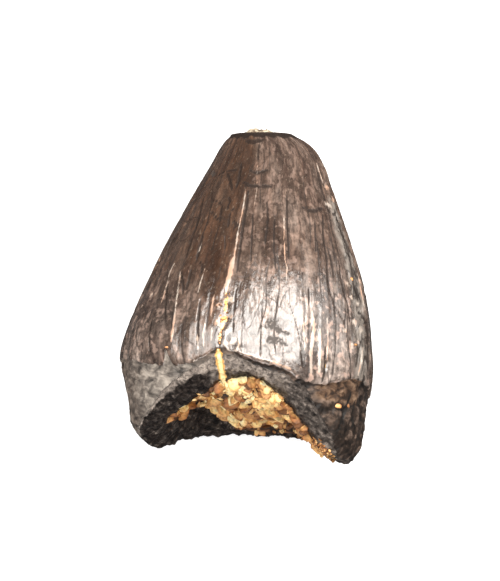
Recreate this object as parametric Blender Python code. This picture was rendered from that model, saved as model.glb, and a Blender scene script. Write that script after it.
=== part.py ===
"""A reptile's fossil tooth that lies on its side, with sand in its pulp cavity.

Sizes are in millimetres and are turned into metres as the meshes are made. The tooth points along +Y, its
broken base faces -Y, and it lies on the plane z = 0. Angles go round the tooth's axis in degrees: 0 is its
right side (+X), 90 its top, 180 its left side and 270 the side it lies on.
"""

import math

import bpy
import numpy as np
from mathutils import Vector, noise

MM = 0.001

# The sections along the tooth: the distance along it, then the section's left, right, lowest and highest place
OUTLINE = [
    (-5.1, -2.75, 3.20, 0.55, 5.30),
    (-4.5, -3.08, 3.44, 0.30, 5.75),
    (-3.9, -3.38, 3.52, 0.10, 6.10),
    (-3.3, -3.49, 3.61, -0.02, 6.35),
    (-2.8, -3.62, 3.70, -0.07, 6.50),
    (-2.2, -3.75, 3.74, -0.08, 6.58),
    (-1.7, -3.72, 3.71, -0.08, 6.50),
    (-0.9, -3.49, 3.66, -0.08, 6.25),
    (0.2, -3.06, 3.49, -0.08, 5.75),
    (1.7, -2.38, 3.09, -0.08, 4.85),
    (3.4, -1.52, 2.56, -0.08, 3.55),
    (4.3, -1.02, 2.25, -0.03, 2.85),
    (4.8, -0.77, 1.92, 0.08, 2.35),
    (5.2, -0.50, 1.40, 0.20, 1.98),
]

# Edges that run round the broken base: an angle, then the distance along the tooth there
ENAMEL_EDGE = [
    (0, -3.15), (35, -3.05), (52, -3.35), (62, -2.95), (75, -2.66), (85, -2.60), (94, -2.33), (103, -2.20),
    (112, -2.46), (135, -2.50), (150, -2.27), (180, -1.98), (215, -2.30), (250, -2.75), (285, -2.55),
    (320, -2.90),
]
OUTER_RIM = [
    (8, -5.05), (30, -4.98), (50, -3.90), (62, -3.12), (80, -2.75), (103, -2.32), (112, -2.60), (122, -3.15),
    (150, -3.84), (180, -3.97), (212, -4.25), (240, -3.88), (270, -3.73), (300, -3.84), (322, -4.42),
    (345, -4.95),
]
INNER_RIM = [
    (0, -4.70), (15, -4.60), (30, -4.35), (45, -3.94), (60, -3.50), (75, -3.04), (90, -2.80), (105, -2.88),
    (120, -3.12), (150, -3.55), (185, -3.80), (205, -3.60), (225, -3.12), (242, -3.12), (270, -3.66),
    (300, -3.80), (318, -4.12), (340, -4.52),
]

# How thick the wall is where it broke: an angle, then the thickness
WALL = [
    (20, 1.25), (60, 1.20), (90, 1.15), (130, 1.25), (180, 1.10), (230, 1.25), (262, 0.80), (285, 0.45),
    (315, 0.50), (345, 1.00),
]

# Low relief of the outer wall
FLUTES = 28
FLUTE_DEPTH = 0.04
FLUTE_FADE = (2.6, 4.6)
ENAMEL_THICKNESS = 0.07
RIDGE_ANGLE = 17.0
RIDGE_WIDTH = 6.0
RIDGE_HEIGHT = 0.05
CRACK_ANGLE = 103.5
CRACK_DEPTH = 0.16
CRACK_REACH = (3.3, -0.7)

# The rough fracture face of the base
BREAK_LUMP_SIZE = 0.55
BREAK_LUMP_HEIGHT = 0.12

# The broken tip: it slants, its edge is rounded, and crumbs of the core, each with a place across the tooth,
# a height above the ground, a radius and how far it stands out, rise from its dished face
TIP_BREAK = 5.22
TIP_SLANT = 0.10
TIP_ROUNDING = 0.06
TIP_SHARES = (0.20, 0.40, 0.58, 0.74, 0.86, 0.95)
TIP_DISH = 0.05
TIP_CRUMBS = [
    (0.22, 1.35, 0.26, 0.24),
    (0.64, 1.30, 0.19, 0.18),
    (0.42, 0.75, 0.24, 0.16),
    (0.90, 0.85, 0.16, 0.10),
]

# The pulp cavity and the sand that fills it
CAVITY_END = 0.9
CAVITY_TAPER = 0.62
CAVITY_STEPS = (0.06, 0.3, 0.58, 0.82)
SAND_GAP = 0.06
SAND_MIDDLE = -3.35
SAND_CLIMB = 3.5
SAND_LUMP_SIZE = 0.42
SAND_LUMP_HEIGHT = 0.2
SAND_SHARES = (0.97, 0.88, 0.76, 0.62, 0.48, 0.34, 0.18)

# How finely each surface is divided
SEGMENTS = 4 * FLUTES
SAND_SEGMENTS = 56
ENAMEL_RINGS = 13
DENTINE_RINGS = 3
BREAK_RINGS = 5
SMOOTH_ANGLE = 40.0

# Puts the middle of the shape's box above the origin
FRAME_SHIFT = (0.009, -0.145, 0.0)


def curve_through(points, at, around=False):
    """Heights at some places of a smooth curve through (place, height) points, which may go right round."""
    places, heights = np.array(points, float).T
    if around:
        places = np.concatenate([places[-2:] - 360, places, places[:2] + 360])
        heights = np.concatenate([heights[-2:], heights, heights[:2]])
        at = np.mod(at, 360)
    slopes = np.gradient(heights, places)
    after = np.clip(np.searchsorted(places, at), 1, len(places) - 1)
    before = after - 1
    step = places[after] - places[before]
    t = np.clip((at - places[before]) / step, 0, 1)
    straight = heights[before] * (1 + 2 * t) * (1 - t) ** 2 + heights[after] * (3 - 2 * t) * t**2
    return straight + step * t * (1 - t) * (slopes[before] * (1 - t) - slopes[after] * t)


def smooth_step(low, high, value):
    t = np.clip((value - low) / (high - low), 0, 1)
    return t * t * (3 - 2 * t)


def lumps(points, size, height):
    """Rounded lumps over these points, the same at every run."""
    return np.array([noise.noise(Vector(point) / size) * height for point in points])


def degrees_apart(angles, angle):
    return np.abs((angles - angle + 180) % 360 - 180)


def section(along, angles):
    """For each angle, the middle of the oval section this far along the tooth, and the arm to its edge."""
    along = np.broadcast_to(np.asarray(along, float), angles.shape)
    rows = np.array(OUTLINE)
    left, right, low, high = (curve_through(rows[:, [0, column]], along) for column in range(1, 5))
    turn = np.radians(angles)
    middle = np.stack([(left + right) / 2, along, (low + high) / 2], axis=-1)
    arm_x = (right - left) / 2 * np.cos(turn)
    arm_z = (high - low) / 2 * np.sin(turn)
    return middle, np.stack([arm_x, np.zeros_like(along), arm_z], axis=-1)


def on_section(along, angles, inset=0.0, share=1.0):
    """Points this far inside the section's edge, drawn in to this share of their distance from its middle."""
    middle, arm = section(along, angles)
    reach = np.linalg.norm(arm, axis=-1)
    return middle + arm * (share * (reach - inset) / reach)[:, None]


def wall_relief(along, angles):
    """How far inwards the flutes, the main crack and the ridge on the right take the outer wall."""
    fade = 1 - smooth_step(*FLUTE_FADE, along)
    flutes = FLUTE_DEPTH * fade * (0.5 - 0.5 * np.cos(np.radians((angles - CRACK_ANGLE) * FLUTES)))
    ridge = RIDGE_HEIGHT * np.exp(-((degrees_apart(angles, RIDGE_ANGLE) / RIDGE_WIDTH) ** 2))
    on_crack = degrees_apart(angles, CRACK_ANGLE) < 180 / SEGMENTS
    crack = np.where(on_crack, CRACK_DEPTH * smooth_step(*CRACK_REACH, along), 0)
    return flutes - ridge + crack


def outer_ring(along, angles, inset=0.0):
    """A ring of the outer wall, flat where it reaches the surface that the tooth lies on."""
    ring = on_section(along, angles, inset + wall_relief(along, angles))
    ring[:, 2] = np.maximum(ring[:, 2], 0)
    return ring


def tip_height(angles, share):
    return TIP_BREAK - TIP_SLANT * share * np.sin(np.radians(angles))


def tip_rings(angles):
    """The broken tip, from near its middle out to its rounded edge, with crumbs of the core on it."""
    rings = []
    for share in TIP_SHARES:
        ring = on_section(tip_height(angles, share), angles, share=share)
        ring[:, 1] -= TIP_DISH * (1 - smooth_step(TIP_SHARES[3], TIP_SHARES[5], share))
        for x, z, radius, height in TIP_CRUMBS:
            away = np.hypot(ring[:, 0] - x, ring[:, 2] - z)
            ring[:, 1] += height * np.exp(-((away / radius) ** 2))
        rings.append(ring)
    return rings


def wall_rings(angles):
    """The outer wall, from the tip to the broken rim, with a ledge where the enamel ends."""
    tip = tip_height(angles, 1) - TIP_ROUNDING
    enamel = curve_through(ENAMEL_EDGE, angles, around=True)
    rim = np.minimum(curve_through(OUTER_RIM, angles, around=True), enamel - ENAMEL_THICKNESS)
    ledge = enamel - ENAMEL_THICKNESS / 2
    rings = [outer_ring(tip + (enamel - tip) * step, angles) for step in np.linspace(0, 1, ENAMEL_RINGS)]
    for step in np.linspace(0, 1, DENTINE_RINGS):
        rings.append(outer_ring(ledge + (rim - ledge) * step, angles, ENAMEL_THICKNESS))
    return rings


def inner_rim(angles, gap=0.0):
    """Where the broken wall meets the cavity, moved inwards by a gap."""
    wall = curve_through(WALL, angles, around=True)
    return on_section(curve_through(INNER_RIM, angles, around=True), angles, wall + gap)


def break_rings(rim, angles):
    """The rough fracture face, from the outer rim to the inner one."""
    inner = inner_rim(angles)
    rings = []
    for step in np.linspace(0, 1, BREAK_RINGS + 1)[1:]:
        ring = rim + (inner - rim) * step
        ring[:, 1] += lumps(ring, BREAK_LUMP_SIZE, BREAK_LUMP_HEIGHT) * math.sin(math.pi * step)
        rings.append(ring)
    return rings


def cavity_rings(angles, gap=0.0):
    """The cavity's wall, tapering from the inner rim inwards; a gap gives the wall of the sand instead."""
    wall = curve_through(WALL, angles, around=True)
    rim = inner_rim(angles, gap)[:, 1]
    rings = []
    for step in CAVITY_STEPS:
        along = rim + (CAVITY_END - gap - rim) * step
        rings.append(on_section(along, angles, wall + gap, (1 - step) ** CAVITY_TAPER))
    return rings


def middle_point(along):
    return section(along, np.array([0.0]))[0][0]


def sand_face_rings(angles):
    """The sand's lumpy face, from beside the inner rim, where it climbs the wall, to near its middle."""
    rim = inner_rim(angles, SAND_GAP)
    middle = middle_point(SAND_MIDDLE)
    rings = []
    for share in SAND_SHARES:
        ring = middle + (rim - middle) * share
        ring[:, 1] = SAND_MIDDLE + (rim[:, 1] - SAND_MIDDLE) * share**SAND_CLIMB
        ring[:, 1] += lumps(ring, SAND_LUMP_SIZE, SAND_LUMP_HEIGHT) * (1 - share**8)
        rings.append(ring)
    return rings


def material(name, colour, roughness):
    made = bpy.data.materials.new(name)
    made.use_nodes = True
    shader = made.node_tree.nodes["Principled BSDF"]
    shader.inputs["Base Color"].default_value = (*colour, 1)
    shader.inputs["Roughness"].default_value = roughness
    shader.inputs["Metallic"].default_value = 0
    return made


def closed_solid(name, first, rings, last, made_of):
    """An object from rings of points, each joined to the next, with a fan to a single point at either end."""
    count = len(rings[0])
    points = (np.vstack([first, *rings, last]) + FRAME_SHIFT) * MM
    last_ring = 1 + (len(rings) - 1) * count
    faces = []
    for i in range(count):
        beside = (i + 1) % count
        faces.append((0, 1 + beside, 1 + i))
        for ring in range(1, last_ring, count):
            faces.append((ring + i, ring + beside, ring + count + beside, ring + count + i))
        faces.append((last_ring + i, last_ring + beside, len(points) - 1))
    mesh = bpy.data.meshes.new(name)
    mesh.from_pydata(points.tolist(), [], faces)
    mesh.materials.append(made_of)
    mesh.shade_smooth()
    mesh.set_sharp_from_angle(angle=math.radians(SMOOTH_ANGLE))
    solid = bpy.data.objects.new(name, mesh)
    bpy.context.scene.collection.objects.link(solid)


def make_tooth():
    angles = CRACK_ANGLE + np.arange(SEGMENTS) * 360 / SEGMENTS
    tip = tip_rings(angles)
    wall = wall_rings(angles)
    rings = tip + wall + break_rings(wall[-1], angles) + cavity_rings(angles)
    tip_middle = tip[0].mean(axis=0)
    enamel = material("tooth", (0.16, 0.105, 0.075), 0.3)
    closed_solid("tooth", tip_middle, rings, middle_point(CAVITY_END), enamel)


def make_sediment():
    angles = CRACK_ANGLE + np.arange(SAND_SEGMENTS) * 360 / SAND_SEGMENTS
    rings = cavity_rings(angles, SAND_GAP)[::-1] + sand_face_rings(angles)
    sand = material("sediment", (0.62, 0.36, 0.12), 0.85)
    closed_solid("sediment", middle_point(CAVITY_END - SAND_GAP), rings, middle_point(SAND_MIDDLE), sand)


def main():
    for thing in list(bpy.data.objects):
        bpy.data.objects.remove(thing)
    make_tooth()
    make_sediment()


main()
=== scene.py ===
"""Dresses a reptile's fossil tooth: fluted and cracked enamel, dull dentine, a dark broken base, golden sand.

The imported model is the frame. Shapes are worked out in millimetres along the tooth's own axes, as in the
part's source, and become metres as the meshes are made. Places read from the photograph are in its pixels,
and a ray from the camera carries them onto the tooth.
"""

import math
import random

import bmesh
import bpy
import numpy as np
from mathutils import Euler, Matrix, Vector, bvhtree, kdtree, noise


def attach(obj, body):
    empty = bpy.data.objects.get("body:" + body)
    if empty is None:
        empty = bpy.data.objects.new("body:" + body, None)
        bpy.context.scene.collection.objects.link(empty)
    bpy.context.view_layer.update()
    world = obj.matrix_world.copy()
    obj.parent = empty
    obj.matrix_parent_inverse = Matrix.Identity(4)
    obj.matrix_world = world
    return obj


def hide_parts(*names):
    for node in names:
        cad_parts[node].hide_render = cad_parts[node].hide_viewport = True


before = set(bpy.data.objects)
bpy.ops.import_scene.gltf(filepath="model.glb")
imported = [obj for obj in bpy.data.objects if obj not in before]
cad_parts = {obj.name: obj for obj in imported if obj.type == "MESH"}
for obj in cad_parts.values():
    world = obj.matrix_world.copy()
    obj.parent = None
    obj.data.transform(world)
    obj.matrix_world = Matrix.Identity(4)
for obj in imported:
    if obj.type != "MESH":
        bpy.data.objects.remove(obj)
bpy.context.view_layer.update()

MM = 0.001
SEED = 11

# The photograph's camera looks down at the tooth, tip up in the picture
PHOTO_SIZE = (500, 581)
PIXELS_PER_MM = 33.4
CAMERA_ELEVATION = 80
CAMERA_DISTANCE = 250
CAMERA_TARGET = (0.11, 0.54, 0)
SENSOR = 36

# The studio, in millimetres: each light's name, direction, distance, width, height and brightness
FLOOR_SIZE = 600
FLOOR_GREY = 0.4
FLOOR_GLOW = 0.8
WORLD_STRENGTH = 0.12
LIGHT_COLOUR = (1, 0.96, 0.91)
LIGHTS_AIM = (0, -1, 3)
LIGHTS = [
    ("key", (0.22, 0.4, 0.87), 80, 106, 108, 7.8),
    ("left", (-0.58, 0.3, 0.7), 80, 34, 70, 4.4),
    ("right", (0.85, 0.45, 0.25), 90, 80, 60, 2),
    ("front", (-0.15, -0.75, 0.62), 90, 50, 50, 4.5),
]

# The sections along the tooth: how far along it is, then its left, right, lowest and highest place
OUTLINE = [
    (-5.1, -2.75, 3.2, 0.55, 5.3),
    (-4.5, -3.22, 3.44, 0.3, 5.75),
    (-3.9, -3.46, 3.52, 0.1, 6.1),
    (-3.3, -3.53, 3.61, -0.02, 6.35),
    (-2.8, -3.62, 3.7, -0.07, 6.5),
    (-2.2, -3.75, 3.74, -0.08, 6.58),
    (-1.7, -3.72, 3.71, -0.08, 6.5),
    (-0.9, -3.49, 3.66, -0.08, 6.25),
    (0.2, -3.06, 3.49, -0.08, 5.75),
    (1.7, -2.38, 3.09, -0.08, 4.85),
    (3.4, -1.52, 2.56, -0.08, 3.55),
    (4.3, -1.02, 2.25, -0.03, 2.85),
    (4.8, -0.77, 1.92, 0.08, 2.35),
    (5.2, -0.5, 1.4, 0.2, 1.98),
]

# Edges round the broken base: an angle, then the distance along the tooth there
ENAMEL_EDGE = [
    (0, -3.05), (35, -2.84), (50, -3.08), (62, -3.08), (75, -2.71), (85, -2.6), (94, -2.33), (103, -2.2),
    (112, -2.46), (135, -2.5), (150, -2.27), (180, -1.98), (215, -2.3), (250, -2.75), (285, -2.55),
    (320, -2.9),
]
OUTER_RIM = [
    (8, -4.92), (30, -4.93), (50, -3.9), (62, -3.12), (80, -2.75), (103, -2.32), (112, -2.5),
    (123, -2.8), (138, -3.24), (152, -3.68), (180, -4.06), (212, -4.34), (240, -3.88), (270, -3.73),
    (300, -3.84), (322, -4.42), (345, -4.84),
]
INNER_RIM = [
    (0, -4.7), (15, -4.6), (30, -4.35), (45, -3.94), (60, -3.5), (75, -3.04), (90, -2.8), (105, -2.88),
    (120, -3.12), (150, -3.55), (185, -3.8), (205, -3.6), (225, -3.12), (242, -3.12), (270, -3.66),
    (300, -3.8), (318, -4.12), (340, -4.52),
]
WALL = [
    (20, 1.25), (60, 1.2), (90, 1.15), (130, 1.25), (180, 1.1), (230, 1.25), (262, 0.8), (285, 0.45),
    (315, 0.5), (345, 1),
]
SPIKE_ANGLE = 129
SPIKE_WIDTH = 3.4
SPIKE_HEIGHT = 0.48
SPIKE_POWER = 1.6

# Relief of the outer wall; the ridge on the right is an angle and a width in degrees
SKIN_RADIUS = 3.74
FLUTES = 28
FLUTE_DEPTH = 0.028
FLUTE_FADE = (2.6, 4.6)
RIBS_LEFT_AT_TIP = 0.25
ENAMEL_THICKNESS = 0.07
EDGE_ROUNDING = 0.02
EDGE_ROUNDING_REACH = 0.06
RIDGE = (17, 6)
RIDGE_HEIGHT = 0.05
CHIPPED_ANGLES = (5, 174)
CHIPPED_REACH = 24
CHIP_DEPTH = 0.09
CHIP_LEVELS = (0.05, 0.5)
CRACK_ANGLE = 103.5
DENTINE_START = 0.03
RIM_ROUNDING = 0.13
RIM_ROUNDING_REACH = 0.35
RIM_NICKS = 0.05
RIM_NICKS_SHARE = 0.3
LOBE_ANGLE = 25
LOBE_REACH = (60, 35)
LOBE_START = (-3.45, -3.75)

# How far lines and cracks stand in or out
DARK_DEPTH = 0.03
HAIR_DEPTH = 0.014
HAIR_HIDDEN = 0.4
PALE_HEIGHT = 0.01
GOLD_DEPTH = 0.05

# The broken base, the broken tip, the cavity and the sand in it
BREAK_BULGE = 0.1
BREAK_CALM = 0.12
BREAK_LEAN = 0.4
TIP_BREAK = 5.22
TIP_SLANT = 0.1
TIP_ROUNDING = 0.06
TIP_SHARES = (0.08, 0.97)
TIP_DISH = 0.05
TIP_DISH_EDGE = (0.74, 0.95)
TIP_CORE_EDGE = (1, 0.8)
TIP_CRUMBS = [
    (0.22, 1.35, 0.26, 0.24),
    (0.64, 1.3, 0.19, 0.18),
    (0.42, 0.75, 0.24, 0.16),
    (0.9, 0.85, 0.16, 0.1),
]
CAVITY_END = 0.9
CAVITY_LAST = 0.88
CAVITY_TAPER = 0.62
SAND_MIDDLE = -3.35
SAND_CLIMB = 3.5
SAND_EDGE_POWER = 8
SAND_FOLD_HEIGHT = 0.12
# How much darker the sand's base is where its folds sink: painted shade in its hollows
SAND_FOLD_SHADE = 0.25
SAND_FOLD_EDGE = (1, 0.9)
SAND_SHARES = (1, 0.04)
SAND_END_TONE = 0.1
SAND_BACK = [(1.6, 0.6), (0.8, 0.85), (0.25, 0.97)]
HOLLOW_MIDDLE = -1.7
HOLLOW_REACH = 0.85
HOLLOW_DEPTH = 0.75

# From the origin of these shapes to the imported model's
FRAME_SHIFT = (0.009, -0.145, 0)

# Kinds of lumps: their height, their size, one or one per axis, their octaves, and a seed
LUMPS = {
    "nicks": (0.045, 0.22, 3, 4),
    "flute_wander": (1.6, (1.6, 3.6, 1.6), 1, 2),
    "ribs": (0.01, (0.15, 2.4, 0.15), 2, 7),
    "swellings": (0.014, (0.9, 1.5, 0.9), 2, 11),
    "enamel_grain": (0.004, (0.12, 0.2, 0.12), 2, 15),
    "chips": (1, (0.3, 0.55, 0.3), 3, 37),
    "rim": (1, 0.3, 3, 9),
    "warp_x": (0.35, 0.7, 2, 1),
    "warp_y": (0.35, 0.7, 2, 5),
    "warp_z": (0.35, 0.7, 2, 9),
    "wrinkles": (0.035, (0.3, 0.16, 0.3), 3, 3),
    "lobe": (0.07, 0.34, 3, 6),
    "break": (0.12, 0.55, 1, 0),
    "rough_break": (0.09, 0.3, 3, 2),
    "fine_break": (0.03, 0.14, 2, 8),
    "core": (0.05, 0.13, 3, 0),
    "tip_stain": (0.8, 0.5, 1, 53),
    "line_edges": (0.5, 0.12, 2, 21),
    # How the painted shade on the flanks wanders and fades
    "flank_shade_wander": (9, (1.2, 1.5, 1.2), 2, 57),
    "flank_shade_fade": (0.6, (1, 0.9, 1), 2, 91),
    "sand": (0.2, 0.42, 1, 0),
    "sand_folds": (1, (0.4, 0.2, 0.22), 3, 5),
    "sand_tones": (0.9, 0.4, 2, 71),
    "strips": (0.15, 0.16, 2, 0),
}
OCTAVE_FALLOFF = 0.8
OCTAVE_STEP = 2.1

# How finely the tooth and the sand are divided, and how much finer the tooth's upper side is
SEGMENTS = 520
FRONT_SPREAD = 0.42
TIP_RINGS = 14
ENAMEL_RINGS = 116
DENTINE_RINGS = 15
BREAK_RINGS = 26
CAVITY_RINGS = 7
SAND_SEGMENTS = 180
SAND_RINGS = 44

# How pale and worn the enamel is, 0 to 1, partly real wear and partly painted sheen where the right side and
# upper middle look pale from reflected light: an angle, then the shares near the tip and near the base
WEAR_AND_SHEEN = [
    (0, 0.14, 0.4), (25, 0.2, 0.68), (60, 0.27, 0.95), (90, 0.24, 0.5), (100, 0.16, 0.35),
    (106, 0, 0.14), (118, 0, 0.34), (150, 0.05, 0.53), (180, 0.12, 0.52), (225, 0.25, 0.4),
    (270, 0.12, 0.5), (320, 0.25, 0.3),
]
WEAR_AND_SHEEN_BETWEEN = (-1.5, 1.2)

# How brown and dark the bare dentine is, 0 to 1: an angle, then the share
BROWN = [
    (0, 0.95), (40, 0.95), (80, 0.85), (104, 0.6), (116, 0.15), (140, 0.05), (165, 0.42), (190, 0.5),
    (240, 0.6), (300, 0.5),
]

# Painted shade along the flanks, where the tooth turns under and its edges look dark: an angle, its reach in
# degrees, and its strength
FLANK_PAINTED_SHADE = [(1, 9, 0.95), (179, 7, 0.8)]
FLANK_SHADE_MIDDLE = 0.8
FLANK_SHADE_LEAST = 0.3

# The brown stain on the dentine below the enamel: where it starts and ends round the tooth, and along it
STAIN_ANGLES = (12, 22, 48, 60)
STAIN_END = (-3.62, -3.4)

# The grey scaly margin of the enamel on the right: its angle, its reach in degrees, and where it fades
SCALY = (25, 9)
SCALY_END = (3.6, 2.6)

# Where the tooth turns from its underside to the side that is up, as the sine of the angle
FACING = (-0.3, 0.1)

# The dark rim round the broken tip, and how dark the fracture is on the left, on the lobe and underneath
TIP_RIM = (0.15, 0.04)
TIP_RIM_DIRT = 0.9
LEFT_FROM = (100, 120)
LEFT_NARROWS = (128, 150)
LEFT_REACHES = (0.3, 0.08)
LOBE_SHADE_REACH = (58, 38)
# The darkening on the left and underneath is painted shade, where the far wall lies in shadow
LEFT_PAINTED_SHADE = 0.95
LOBE_SHADE = 0.65
UNDER_PAINTED_SHADE = 0.95

# Long hairline cracks: the ranges of their middles along the tooth, half lengths, wandering in degrees, waves
# and phases of it, angles, leaning in degrees, widths and strengths
HAIRLINES = 110
HAIR_RANGES = [
    (-2.5, 4.8), (0.4, 2), (0.3, 1.2), (1, 3.5), (0, 6.3), (0, 360), (-1.5, 1.5), (0.022, 0.036), (0.5, 1),
]
HAIR_FULL_SHARE = 0.6

# Lines read from the photograph: a width in millimetres, then points in its pixels. LINE_REACH is how far a
# line's softness reaches from its middle, as a share of its width. Lines under the full width are fainter.
LINE_REACH = 0.56
LINE_TAPER = (0.45, 4)
LINE_STEP = 0.5
LINE_FAINTEST = 0.3
FARTHEST_SHARE = 3
SPOT_POWER = 4
SPOT_STRENGTH = 0.45
PALE_FULL_WIDTH = 0.1
DARK_FULL_WIDTH = 0.06
DARK_LINES = [
    (0.06, (203, 198), (200, 213), (196, 228), (191, 242), (186, 258)),
    (0.04, (212, 191), (211, 206), (207, 223), (203, 233)),
    (0.06, (203, 233), (200, 247), (196, 261)),
    (0.06, (222, 206), (220, 216), (220, 221)),
    (0.035, (219, 226), (215, 238), (212, 250)),
    (0.05, (210, 209), (216, 218), (220, 221)),
    (0.065, (241, 164), (239, 180), (236, 188)),
    (0.06, (227, 172), (231, 185), (232, 190)),
    (0.055, (228, 196), (230, 201), (227, 208)),
    (0.05, (212, 200), (220, 203), (222, 206)),
    (0.05, (227, 208), (235, 210)),
    (0.055, (230, 213), (229, 221), (228, 228)),
    (0.075, (232, 221), (238, 225), (233, 228)),
    (0.035, (225, 235), (225, 250)),
    (0.04, (217, 176), (226, 171), (237, 170)),
    (0.09, (243, 182), (250, 186), (261, 186), (271, 187)),
    (0.08, (250, 171), (258, 173), (268, 170)),
    (0.08, (300, 208), (312, 211), (324, 209)),
    (0.05, (198, 260), (202, 265), (201, 274)),
    (0.07, (180, 273), (183, 284), (183, 293)),
    (0.07, (191, 269), (189, 278), (186, 290)),
    (0.05, (167, 286), (166, 300), (165, 312), (166, 327)),
    (0.06, (248, 190), (247, 204), (244, 220), (242, 235), (239, 255), (237, 272)),
    (0.04, (236, 290), (234, 310), (233, 332)),
    (0.05, (275, 216), (274, 230), (274, 248), (276, 270)),
    (0.045, (267, 203), (268, 220), (265, 245)),
    (0.05, (287, 194), (287, 214), (288, 240), (289, 258)),
    (0.06, (323, 214), (323, 232), (325, 248), (327, 262), (328, 281), (331, 297)),
    (0.055, (330, 253), (333, 270), (334, 279)),
    (0.045, (315, 220), (316, 253)),
    (0.075, (337, 218), (341, 229), (346, 243), (352, 255)),
    (0.026, (243, 304), (242, 316), (242, 342), (241, 352)),
    (0.034, (262, 303), (262, 311), (261, 332), (260, 359)),
    (0.028, (285, 296), (291, 308), (296, 322), (300, 340), (302, 352)),
    (0.04, (330, 291), (335, 307), (344, 321), (346, 332)),
    (0.05, (309, 289), (309, 306)),
    (0.06, (326, 347), (325, 360), (325, 372), (322, 383)),
    (0.05, (253, 214), (252, 235), (251, 262)),
    (0.05, (361, 342), (358, 355), (356, 368)),
    (0.045, (366, 345), (364, 362), (361, 376)),
    (0.07, (352, 392), (346, 408), (341, 424)),
    (0.045, (301, 352), (303, 366)),
    (0.06, (200, 300), (198, 322), (197, 345)),
    (0.05, (152, 318), (149, 335), (150, 352)),
    # The next three follow the right contour: a real groove by the ridge, and painted shade for the dark band
    # at the edge of the right flank
    (0.08, (318, 172), (321, 187), (325, 200), (328, 210), (336, 216)),
    (0.08, (336, 216), (340, 229), (348, 250), (352, 268), (354, 285), (358, 298), (357, 311)),
    (0.1, (357, 311), (364, 318), (367, 326), (368, 345), (368, 370)),
    (0.06, (340, 272), (343, 290), (348, 306), (350, 322)),
    (0.17, (247, 141), (254, 142), (262, 140)),
    (0.05, (259, 144), (258, 153), (258, 162)),
    (0.09, (344, 409), (342, 420), (338, 431)),
    (0.06, (355, 400), (352, 415), (354, 432)),
]
PALE_LINES = [
    (0.035, (246, 188), (244, 203), (241, 218), (238, 231)),
    (0.045, (238, 231), (236, 246), (234, 257)),
    (0.1, (234, 257), (231, 270), (227, 285), (226, 292)),
    (0.035, (175, 262), (170, 272), (166, 287), (163, 298), (160, 307)),
    (0.04, (181, 267), (179, 281), (177, 297), (175, 312)),
    (0.06, (175, 312), (173, 329), (171, 342)),
    (0.025, (189, 270), (186, 281)),
    (0.06, (357, 272), (360, 285), (363, 300), (365, 310)),
    (0.045, (316, 162), (320, 174), (323, 183)),
    (0.03, (205, 268), (200, 284), (197, 298)),
    (0.025, (202, 240), (198, 254)),
    (0.05, (214, 295), (212, 307), (211, 317)),
    (0.028, (284, 214), (284, 231), (284, 243)),
    (0.038, (284, 240), (285, 259), (287, 268), (286, 280)),
    (0.02, (258, 160), (257, 172), (257, 184), (256, 196), (253, 212)),
    (0.045, (162, 256), (158, 262)),
    # The next two are painted sheen: white streaks where ribs low on the right catch the light
    (0.08, (312, 311), (314, 330), (311, 352), (311, 376)),
    (0.06, (320, 330), (320, 352), (319, 376)),
    (0.06, (363, 348), (361, 362), (358, 376)),
    (0.045, (303, 318), (304, 336), (305, 350)),
    (0.045, (327, 318), (328, 340), (327, 362)),
    # The next two are painted highlights, where the enamel's lower edge catches the light
    (0.045, (188, 360), (199, 361), (208, 358), (215, 351)),
    (0.05, (240, 352), (252, 355), (264, 359), (278, 364), (291, 369)),
    (0.05, (346, 412), (345, 424), (343, 436)),
    # The next is a raised rim round a panel, painted pale partly as a highlight where it catches the light;
    # the three after it are painted highlights, whitish streaks low on the left
    (0.05, (226, 330), (225, 344), (229, 351), (236, 351), (239, 344), (239, 330)),
    (0.045, (205, 322), (203, 335), (204, 348)),
    (0.04, (212, 328), (211, 342)),
    (0.04, (197, 334), (198, 350)),
]
GOLD_LINES = [
    (0.32, (226, 292), (225, 304), (225, 318), (222, 328)),
    (0.16, (221, 331), (219, 344)),
    (0.16, (218, 349), (220, 362), (222, 373), (224, 382)),
    (0.06, (339, 219), (343, 229)),
    (0.05, (327, 361), (326, 371)),
]

# The dark smudges on the shine and near the tip, as such lines
SMUDGE_LINES = [
    (0.48, (268, 325), (271, 324), (275, 327)),
    (0.26, (276, 329), (281, 332)),
    (0.12, (281, 332), (290, 334)),
    (0.32, (268, 341), (274, 340), (281, 341)),
    (0.14, (280, 342), (287, 345)),
    (0.1, (330, 195), (331, 199)),
    (0.14, (212, 171), (214, 176)),
]

# Pale spots: pixels across and down, then a radius in millimetres
PALE_SPOTS = [
    (326, 188, 0.13), (329, 205, 0.13), (332, 199, 0.12), (358, 303, 0.1), (361, 330, 0.12),
    (358, 342, 0.1), (351, 297, 0.1), (348, 284, 0.1), (354, 322, 0.12), (345, 331, 0.1),
    (351, 346, 0.12), (230, 300, 0.12), (219, 305, 0.1), (231, 316, 0.1), (217, 322, 0.12),
    (226, 343, 0.1), (142, 306, 0.07), (151, 295, 0.07), (229, 331, 0.1), (233, 342, 0.12),
]

# Grains of sand: sizes in millimetres, tones from 0, dark, to 1, bright, and angles in degrees
GRAINS = 1500
GRAIN_SIZES = (0.05, 0.27)
GRAIN_SIZE_POWER = 3
GRAIN_SINK = 0.1
FINE_LEFT_OF = -1.5
FINE_SHARE = 0.9
GRAIN_CUTS = 7
GRAIN_CUT_DEPTHS = (0.45, 0.8)
GRAIN_STRETCH = (1.5, 0.95, 0.45)
GRAIN_TILT = 0.45
GRAIN_SHARP_ANGLE = 28
# Each grain darkens towards its edge: partly its orange rim, partly painted shade for the gaps between grains
GRAIN_EDGE_SHADE = 0.85
GRAIN_EDGE_START = 0.25
GRAIN_TONES = (0.12, 1.2)
DARKEST_TONE = 0.03
LAST_SHARE = 0.99
RIM_SHARE = 0.25
RIM_SHARES = (0.86, 0.99)
RIM_ANGLES = (25, 130)
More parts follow.
